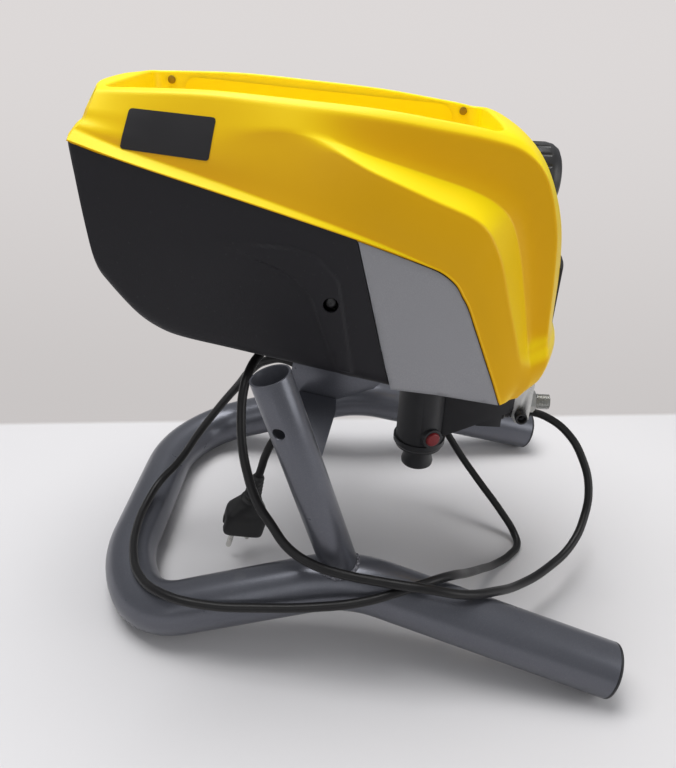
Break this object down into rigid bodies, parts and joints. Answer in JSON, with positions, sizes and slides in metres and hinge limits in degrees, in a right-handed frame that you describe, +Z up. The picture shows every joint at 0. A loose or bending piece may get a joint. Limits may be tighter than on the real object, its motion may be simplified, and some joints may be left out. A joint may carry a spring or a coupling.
{
  "type": "airless paint sprayer",
  "caption": "Electric airless paint sprayer: covered motor and piston pump on a bent-tube skid, with tool tray, pressure knob, suction inlet, hose outlet and mains lead.",
  "frame": {"origin": "on the floor under the middle of the skid", "axes": "+X to the front, where the hose outlet and the open ends of the skid are; +Y to the machine's left; +Z up"},
  "size_m": [0.4253, 0.3776, 0.3995],
  "materials": {
    "frame_paint": "satin grey powder coat",
    "black_plastic": "moulded black plastic",
    "zinc": "bright zinc plating",
    "yellow_plastic": "semi-gloss yellow moulding",
    "shell_plastic": "fine-grained black moulding",
    "dark_screw": "blackened steel",
    "silver_plastic": "silver-grey moulding",
    "plate_film": "dark plate",
    "motor_steel": "painted steel",
    "cast_alloy": "as cast",
    "lamination": "stacked laminations",
    "copper_winding": "lacquered copper wire and steel teeth",
    "copper": "turned copper",
    "brass": "brass and carbon",
    "bright_steel": "ground steel",
    "gear_steel": "hardened steel",
    "packing": "packing rings",
    "red_plastic": "dark red",
    "knob_plastic": "black with fine grain",
    "circuit_board": "lacquered board",
    "cord_rubber": "black rubber",
    "plug_rubber": "black moulded rubber with plated pins"
  },
  "bodies": {
    "base": {"skid_frame": "frame_paint", "end_caps": "black_plastic", "support_tubes": "frame_paint", "gusset_plates": "frame_paint", "cradle_plate": "frame_paint", "cradle_bolts": "zinc", "top_cover": "yellow_plastic", "tray_screws": "zinc", "right_shell": "shell_plastic", "left_shell": "shell_plastic", "shell_screws": "dark_screw", "right_side_panel": "silver_plastic", "left_side_panel": "silver_plastic", "name_plates": "plate_film", "front_plate": "plate_film", "belly_cover": "black_plastic", "motor_can": "motor_steel", "motor_front_bell": "cast_alloy", "motor_rear_bell": "cast_alloy", "field_core": "lamination", "brush_holders": "brass", "motor_bearings": "bright_steel", "gear_housing": "cast_alloy", "countershaft_pin": "bright_steel", "crank_bearings": "bright_steel", "yoke_chamber": "cast_alloy", "chamber_cover": "cast_alloy", "piston_packings": "packing", "pump_cylinder": "bright_steel", "inlet_seat": "gear_steel", "inlet_spring": "bright_steel", "spring_clip": "gear_steel", "inlet_housing": "black_plastic", "suction_connector": "black_plastic", "pusher_spring": "bright_steel", "outlet_pipe": "bright_steel", "outlet_block": "zinc", "outlet_spring": "bright_steel", "hose_fitting": "zinc", "return_port": "black_plastic", "pressure_control": "black_plastic", "control_board": "circuit_board", "cord_gland": "cord_rubber", "mains_cord": "cord_rubber", "plug": "plug_rubber"},
    "knob": {"pressure_knob": "knob_plastic"},
    "pusher": {"pusher_button": "red_plastic"},
    "rotor": {"armature": "copper_winding", "commutator": "copper", "cooling_fan": "black_plastic", "motor_shaft": "bright_steel", "motor_pinion": "gear_steel"},
    "countershaft": {"countershaft_gear": "gear_steel"},
    "crank": {"crank_gear": "gear_steel", "crankshaft": "bright_steel", "crank_roller": "bright_steel"},
    "plunger": {"yoke": "gear_steel", "piston": "bright_steel"},
    "inlet_valve": {"inlet_ball": "bright_steel"},
    "outlet_valve": {"outlet_ball": "bright_steel"}
  },
  "joints": [
    {"name": "knob_turn", "type": "hinge", "parent": "base", "child": "knob", "pos_m": [0.13, 0, 0.3425], "axis": [1, 0, 0], "range_deg": [0, 270]},
    {"name": "pusher_press", "type": "slide", "parent": "base", "child": "pusher", "axis": [-0.3907, 0.9205, 0], "range_m": [0, 0.0025], "stiffness_N_per_m": 2000, "springref_m": -0.002, "deforming": ["pusher_spring"]},
    {"name": "motor_spin", "type": "hinge", "parent": "base", "child": "rotor", "pos_m": [-0.07, 0, 0.287], "axis": [1, 0, 0], "continuous": true},
    {"name": "gear_spin", "type": "hinge", "parent": "base", "child": "countershaft", "pos_m": [-0.02, 0.036, 0.287], "axis": [1, 0, 0], "continuous": true},
    {"name": "crank_spin", "type": "hinge", "parent": "base", "child": "crank", "pos_m": [0.02, 0, 0.287], "axis": [1, 0, 0], "continuous": true},
    {"name": "piston_stroke", "type": "slide", "parent": "base", "child": "plunger", "axis": [0, 0, 1], "range_m": [-0.005, 0.005]},
    {"name": "inlet_ball_lift", "type": "slide", "parent": "base", "child": "inlet_valve", "axis": [0, 0, 1], "range_m": [0, 0.002], "stiffness_N_per_m": 500, "springref_m": -0.001, "deforming": ["inlet_spring"]},
    {"name": "outlet_ball_lift", "type": "slide", "parent": "base", "child": "outlet_valve", "axis": [1, 0, 0], "range_m": [0, 0.001], "stiffness_N_per_m": 500, "springref_m": -0.001, "deforming": ["outlet_spring"]}
  ],
  "couplings": [
    {"joint": "gear_spin", "follows": "motor_spin", "ratio": -0.2},
    {"joint": "crank_spin", "follows": "motor_spin", "ratio": 0.05}
  ]
}
